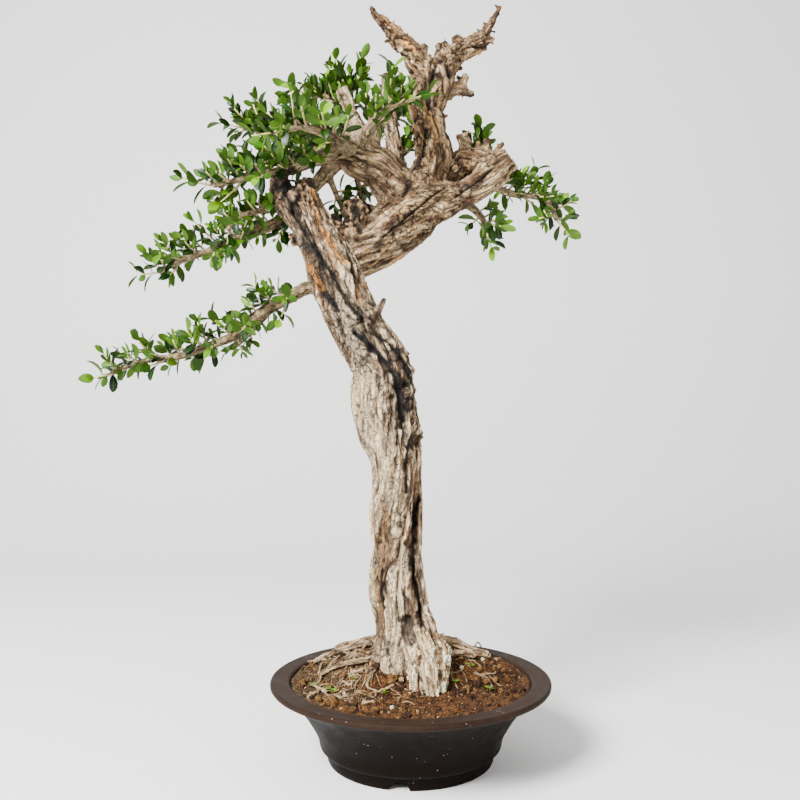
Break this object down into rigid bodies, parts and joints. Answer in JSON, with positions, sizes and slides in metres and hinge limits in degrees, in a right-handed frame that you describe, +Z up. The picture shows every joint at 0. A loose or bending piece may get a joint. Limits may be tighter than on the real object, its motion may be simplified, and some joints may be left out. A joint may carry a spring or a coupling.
{
  "type": "olive bonsai in a pot",
  "caption": "Small-leaved olive bonsai with a slanting gnarled trunk, bare dead limbs and leafy side branches, in a round wide-rimmed clay pot of soil.",
  "frame": {"origin": "middle of the whole part's width and depth, on the plane that the pot's foot stands on", "axes": "+Z up along the tree's height; +X to the viewer's right and +Y away from the viewer in the picture"},
  "size_m": [0.3898, 0.222, 0.6035],
  "materials": {
    "pot_clay": "matte",
    "soil": "matte",
    "wood": "matte",
    "leaf": "satin",
    "drain_mesh": "matte",
    "tie_wire": "satin"
  },
  "bodies": {
    "root": {"drain_mesh": "drain_mesh", "pot": "pot_clay", "soil": "soil", "spray_canopy_back_1": "leaf", "spray_canopy_back_2": "leaf", "spray_canopy_back_3": "leaf", "spray_canopy_back_right_1": "leaf", "spray_canopy_back_right_2": "leaf", "spray_canopy_back_right_3": "leaf", "spray_canopy_crest_1": "leaf", "spray_canopy_crest_2": "leaf", "spray_canopy_front_1": "leaf", "spray_canopy_front_2": "leaf", "spray_canopy_front_3": "leaf", "spray_canopy_high_left_1": "leaf", "spray_canopy_high_left_2": "leaf", "spray_canopy_high_left_3": "leaf", "spray_canopy_high_left_4": "leaf", "spray_canopy_left_1": "leaf", "spray_canopy_left_2": "leaf", "spray_canopy_left_3": "leaf", "spray_canopy_left_4": "leaf", "spray_canopy_right_1": "leaf", "spray_canopy_right_2": "leaf", "spray_canopy_right_3": "leaf", "spray_canopy_top_1": "leaf", "spray_canopy_top_2": "leaf", "spray_lower_1": "leaf", "spray_lower_10": "leaf", "spray_lower_11": "leaf", "spray_lower_12": "leaf", "spray_lower_2": "leaf", "spray_lower_3": "leaf", "spray_lower_4": "leaf", "spray_lower_5": "leaf", "spray_lower_6": "leaf", "spray_lower_7": "leaf", "spray_lower_8": "leaf", "spray_lower_9": "leaf", "spray_lower_under_1": "leaf", "spray_middle_1": "leaf", "spray_middle_2": "leaf", "spray_middle_3": "leaf", "spray_middle_4": "leaf", "spray_middle_5": "leaf", "spray_middle_6": "leaf", "spray_middle_7": "leaf", "spray_middle_8": "leaf", "spray_middle_side_1": "leaf", "spray_right_1": "leaf", "spray_right_2": "leaf", "spray_right_3": "leaf", "spray_right_4": "leaf", "spray_right_back_1": "leaf", "spray_right_lower_1": "leaf", "spray_right_lower_2": "leaf", "tie_wire": "tie_wire", "wood": "wood"}
  },
  "joints": []
}
